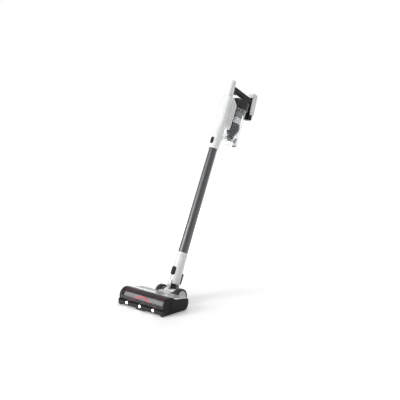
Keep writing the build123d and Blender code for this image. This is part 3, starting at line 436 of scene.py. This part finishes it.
FINISH = {
    "duct_tube": white_duct, "spine_housing": white_spine, "front_strip": white_gloss, "side_trims": trim_grey,
    "rear_frame": frame_dark, "inlet_seal": rubber_black, "control_board": board_green,
    "display_lens": lens_glass, "motor_housing": barrel_dark, "fan_motor": can_steel,
    "exhaust_filter": foam_grey, "grip": grip_black, "battery_holder": black_satin,
    "nozzle_button": black_satin, "mode_button": dark_satin, "trigger": dark_satin, "impeller": dark_satin,
    "battery_shell": white_pack, "battery_cells": cell_blue, "battery_button": dark_satin,
    "dust_cup": cup_clear, "cyclone_head": head_grey, "cyclone_cone": cone_dark,
    "mesh_screen": screen_steel, "foam_filter": foam_grey, "cup_pins": steel, "cup_lid": cup_clear,
    "lid_latch": black_satin, "wand_tube": wand_metal, "wand_bottom_connector": dark_satin,
    "wand_top_connector": dark_satin, "wand_wiring": steel, "neck_housing": white_neck,
    "neck_rear_cover": black_satin, "swivel_caps": cap_grey, "neck_button": black_satin,
    "yoke": white_yoke, "swivel_pins": steel, "chassis": black_satin, "bumper": black_gloss,
    "led_lenses": led_white, "window": window_smoke_painted_shade, "side_panel_left": black_side,
    "side_panel_right": black_side, "roller_plug": black_satin, "top_cover": white_gloss,
    "drive_belt": rubber_black, "brush_motor": can_steel, "neck_axles": steel, "sole_felt": felt_dark,
    "head_screws": steel, "brush_core": dark_satin, "brush_pile": pile_grey, "bristle_strips": bristle_red,
    "motor_pulley": dark_satin, "tyre_left": tyre_black, "tyre_right": tyre_black, "hub_left": hub_grey,
    "hub_right": hub_grey, "front_rollers": dark_satin,
}
for name, node in NODES.items():
    node.data.materials.clear()
    node.data.materials.append(FINISH[name])


# ---------------------------------------------------------------- pieces
def piece(name, verts, faces, material, body, smooth=True, replaces=()):
    """A mesh that rides on a body."""
    mesh = bpy.data.meshes.new(name)
    mesh.from_pydata([tuple(v) for v in verts], [], faces)
    mesh.validate()
    mesh.update()
    mesh.polygons.foreach_set("use_smooth", [smooth] * len(mesh.polygons))
    mesh.materials.append(material)
    ob = bpy.data.objects.new(name, mesh)
    bpy.context.scene.collection.objects.link(ob)
    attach(ob, body)
    if replaces:
        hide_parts(*replaces)
    return ob


def roller_point(x, r, degrees):
    """A point round the roller's axis; 0 is the rear, 90 the top, 180 the front."""
    a = math.radians(degrees)
    return Vector((x, ROLLER.y + r * math.cos(a), ROLLER.z + r * math.sin(a)))


def arc_band(x0, x1, r0, r1, a0, a1, steps):
    """Closed curved strip round the roller's axis."""
    verts, faces = [], []
    for i in range(steps + 1):
        a = a0 + (a1 - a0) * i / steps
        for x, r in ((x0, r0), (x1, r0), (x1, r1), (x0, r1)):
            verts.append(roller_point(x, r, a))
    for i in range(steps):
        for k in range(4):
            a, b = 4 * i + k, 4 * i + (k + 1) % 4
            faces.append((a, b, b + 4, a + 4))
    faces.append((3, 2, 1, 0))
    faces.append(tuple(4 * steps + k for k in range(4)))
    return verts, faces


def pile_sleeve():
    """Soft sleeve of the roller: tufted surface with a slightly combed lean."""
    around, along = 150, 190
    verts, faces = [], []
    for i in range(along + 1):
        for j in range(around):
            t = i / along
            end = min(1.0, min(t, 1 - t) * 40)
            r = 0.0262 + 0.0031 * math.sqrt(end) + random.uniform(-0.0009, 0.0001)
            x = PILE_MIDDLE + PILE_HALF * (2 * t - 1) + random.uniform(-0.0002, 0.0002)
            verts.append(roller_point(x, r, 360 * (j + 0.35 * (i % 2)) / around))
    for i in range(along):
        for j in range(around):
            a, b = i * around + j, i * around + (j + 1) % around
            faces.append((a, b, b + around, a + around))
    for i, flip in ((0, False), (along, True)):
        ring = [i * around + j for j in range(around)]
        faces.append(tuple(ring if flip else reversed(ring)))
    return piece("pile_sleeve", verts, faces, pile_grey, "brush", replaces=["brush_pile"])


ROW_N = 3                       # rows round the roller
ROW_TURN = 108.0                # how far a row turns from the middle to an end, degrees
ROW_START = 134.0               # where the first row's point stands, degrees from the rear
ROW_HALF = 13.0                 # half a row's width, degrees
ROW_LENGTH = 0.1165             # from the middle to an end
ROW_FOOT, ROW_TOP = 0.0285, 0.0303
TUFTS = 900                     # on each half of a row
# The chamber wall is a cylinder of 0.0338, but long facets of its mesh come in to 0.0314.
TIP_LOW, TIP_HIGH = 0.0308, 0.0312


def row_angle(n, t):
    """Angle of a bristle row, t from 0 in the middle to 1 at an end."""
    return ROW_START + 360 / ROW_N * n + ROW_TURN * t


def bristle_rows():
    """V-shaped rows: a low strip with fine bristles on it."""
    verts, faces = [], []
    steps = 44
    for n in range(ROW_N):
        for side in (-1, 1):
            first = len(verts)
            for i in range(steps + 1):
                t = i / steps
                a = row_angle(n, t)
                x = PILE_MIDDLE + side * ROW_LENGTH * t
                for da, r in ((-ROW_HALF - 1, ROW_FOOT), (-ROW_HALF, ROW_TOP), (ROW_HALF, ROW_TOP),
                              (ROW_HALF + 1, ROW_FOOT)):
                    verts.append(roller_point(x, r, a + da))
            for i in range(steps):
                for k in range(3):
                    a = first + 4 * i + k
                    faces.append((a, a + 1, a + 5, a + 4))
            for i in range(TUFTS):
                t = random.random()
                x = PILE_MIDDLE + side * ROW_LENGTH * t
                a = row_angle(n, t) + random.uniform(-ROW_HALF, ROW_HALF)
                base = len(verts)
                lean = random.uniform(-1.2, 1.2)
                top = random.uniform(TIP_LOW, TIP_HIGH)
                for dx, da in ((-0.0003, -0.6), (0.0003, -0.6), (0, 0.8)):
                    verts.append(roller_point(x + dx, 0.03, a + da))
                verts.append(roller_point(x + random.uniform(-0.0003, 0.0003), top, a + lean))
                for k in range(3):
                    faces.append((base + k, base + (k + 1) % 3, base + 3))
    return piece("bristle_rows", verts, faces, bristle_red, "brush", replaces=["bristle_strips"])


def ring_profile(name, centre, axis, profile, material, body):
    """A turned ring: profile is a closed list of (radius, height along the axis)."""
    axis = axis.normalized()
    u = axis.orthogonal().normalized()
    w = axis.cross(u)
    verts, faces = [], []
    count, k = 48, len(profile)
    for i in range(count):
        a = 2 * math.pi * i / count
        out = u * math.cos(a) + w * math.sin(a)
        for r, h in profile:
            verts.append(centre + out * r + axis * h)
    for i in range(count):
        for j in range(k):
            a, b = i * k + j, i * k + (j + 1) % k
            c, d = ((i + 1) % count) * k + (j + 1) % k, ((i + 1) % count) * k + j
            faces.append((a, b, c, d))
    return piece(name, verts, faces, material, body)


def rounded_plate(name, centre, across, along, out, w, h, r, depth, material, body):
    """A thin plate with rounded corners and a small bevel, standing out of a face."""
    loop = []
    for sx, sy, start in ((1, 1, 0), (-1, 1, 90), (-1, -1, 180), (1, -1, 270)):
        for i in range(6):
            a = math.radians(start + 18 * i)
            loop.append((sx * (w / 2 - r) + r * math.cos(a), sy * (h / 2 - r) + r * math.sin(a)))
    bevel = min(depth, r) * 0.5
    verts = []
    for shrink, lift in ((0, -depth * 0.5), (0, depth - bevel), (bevel, depth)):
        for x, y in loop:
            k = 1 - shrink / max(w, h) * 2
            verts.append(centre + across * x * k + along * y * k + out * lift)
    n = len(loop)
    faces = [(a, (a + 1) % n, n + (a + 1) % n, n + a) for a in range(n)]
    faces += [(n + a, n + (a + 1) % n, 2 * n + (a + 1) % n, 2 * n + a) for a in range(n)]
    faces.append(tuple(range(2 * n, 3 * n)))
    faces.append(tuple(reversed(range(n))))
    return piece(name, verts, faces, material, body, smooth=False)


def window_strips():
    """Inside the window: a seal at its foot, a black band under the cover that is painted shade, a light lip
    above the bumper.
    """
    for name, inner, low, high, steps, material, slot in (
            ("window_seal", 0.0331, 181.0, 187.4, 4, seal_grey, "rubber"),
            # the black band stands in for the shade under the cover: painted shade
            ("window_painted_shade_band", 0.0333, 69.0, 84.0, 8, black_satin, "satin_black"),
            ("window_lip", 0.0334, 172.0, 176.0, 3, white_duct, "satin_white")):
        verts, faces = arc_band(-WINDOW_HALF, WINDOW_HALF, WINDOW_IN, inner, low, high, steps)
        piece(name, verts, faces, material, "head")


def lamp_bezels():
    """A bright ring round each lamp of the bumper."""
    profile = [(0.0052, -0.001), (0.0052, 0.0002), (0.0058, 0.0007), (0.0066, 0.0005), (0.007, -0.0004),
               (0.0066, -0.001)]
    for i, x in enumerate((-0.08, 0.0, 0.08)):
        ring_profile(f"led_bezel_{i}", Vector((x, BUMPER_FACE, LAMP_Z)), Vector((0, -1, 0)), profile,
                     led_ring, "head")


def charge_lights():
    """Three small lights on the back of the battery."""
    for i, z in enumerate((-0.008, -0.001, 0.006)):
        rounded_plate(f"charge_light_{i}", pack_point(0, 0.032, z), SIDE, PACK_UP, PACK_BACK,
                      0.0016, 0.0042, 0.0007, 0.00012, light_on, "battery")


pile_sleeve()
bristle_rows()
window_strips()
lamp_bezels()
charge_lights()

# ---------------------------------------------------------------- stage
def pale_floor():
    """Plain floor; its own faint light grows outwards, so that it fades into the white."""
    m = Mat("floor_mat")
    speck = m.noise(3.0, 2)
    m.link(m.mix(m.span(speck, 0.3, 0.7), (0.93, 0.93, 0.93), (0.95, 0.95, 0.95)), m.b.inputs["Base Color"])
    m.b.inputs["Roughness"].default_value = 0.7
    away = m.node("VectorMath", operation="LENGTH")
    m.link(m.p, away.inputs[0])
    m.link(m.span(away.outputs["Value"], 0.25, 2.2, 0.16, 0.72), m.b.inputs["Emission Strength"])
    m.b.inputs["Emission Color"].default_value = (1, 1, 1, 1)
    mesh = bpy.data.meshes.new("floor")
    corners = [(x * FLOOR_HALF, y * FLOOR_HALF, FLOOR_Z) for x, y in ((-1, -1), (1, -1), (1, 1), (-1, 1))]
    mesh.from_pydata(corners, [], [(0, 1, 2, 3)])
    mesh.materials.append(m.m)
    floor = bpy.data.objects.new("floor", mesh)
    bpy.context.scene.collection.objects.link(floor)


def studio_sky():
    """The sky is seen white, also through clear walls, but lights softly."""
    world = bpy.data.worlds.new("studio")
    bpy.context.scene.world = world
    world.use_nodes = True
    nodes, links = world.node_tree.nodes, world.node_tree.links
    sky = nodes["Background"]
    sky.inputs["Color"].default_value = (1, 1, 1, 1)
    strength = nodes.new("ShaderNodeMapRange")
    either = nodes.new("ShaderNodeMath")
    either.operation = "MAXIMUM"
    ray = nodes.new("ShaderNodeLightPath")
    for i, kind in enumerate(("Is Camera Ray", "Is Transmission Ray")):
        links.new(ray.outputs[kind], either.inputs[i])
    links.new(either.outputs[0], strength.inputs["Value"])
    strength.inputs["To Min"].default_value = SKY
    strength.inputs["To Max"].default_value = 1.0
    links.new(strength.outputs[0], sky.inputs["Strength"])


def softbox(name, place, target, size, power):
    """A rectangular studio light that points at its target."""
    light = bpy.data.lights.new(name, "AREA")
    light.shape = "RECTANGLE"
    light.size, light.size_y = size
    light.energy = power
    ob = bpy.data.objects.new(name, light)
    ob.location = place
    ob.rotation_mode = "QUATERNION"
    ob.rotation_quaternion = (Vector(target) - Vector(place)).to_track_quat("-Z", "Y")
    bpy.context.scene.collection.objects.link(ob)


def camera(azimuth, elevation, place):
    """A camera that looks from this place along its azimuth and elevation, in degrees."""
    az, el = math.radians(azimuth), math.radians(elevation)
    data = bpy.data.cameras.new("camera")
    data.sensor_width = 36
    data.lens = 56.4
    ob = bpy.data.objects.new("camera", data)
    bpy.context.scene.collection.objects.link(ob)
    bpy.context.scene.camera = ob
    ob.location = place
    right = Vector((math.cos(az), math.sin(az), 0))
    towards = Vector((math.sin(az) * math.cos(el), -math.cos(az) * math.cos(el), math.sin(el)))
    ob.rotation_mode = "QUATERNION"
    ob.rotation_quaternion = Matrix((right, towards.cross(right), towards)).transposed().to_quaternion()


pale_floor()
studio_sky()
MIDDLE = (0, 0.25, 0.45)
softbox("key", (-1.3, -2.8, 1.6), MIDDLE, (1.5, 1.8), 76)
softbox("rim", (-1.2, 2.0, 1.6), MIDDLE, (0.8, 2.0), 14)
softbox("fill", (2.4, 0.4, 1.2), MIDDLE, (1.0, 2.0), 1)
softbox("top", (0, 0, 3.0), (0, 0, 0), (2.4, 2.4), 30)
camera(43.0, 7.4, (1.8706, -1.7523, 0.7769))
bpy.context.scene.view_settings.view_transform = "Standard"
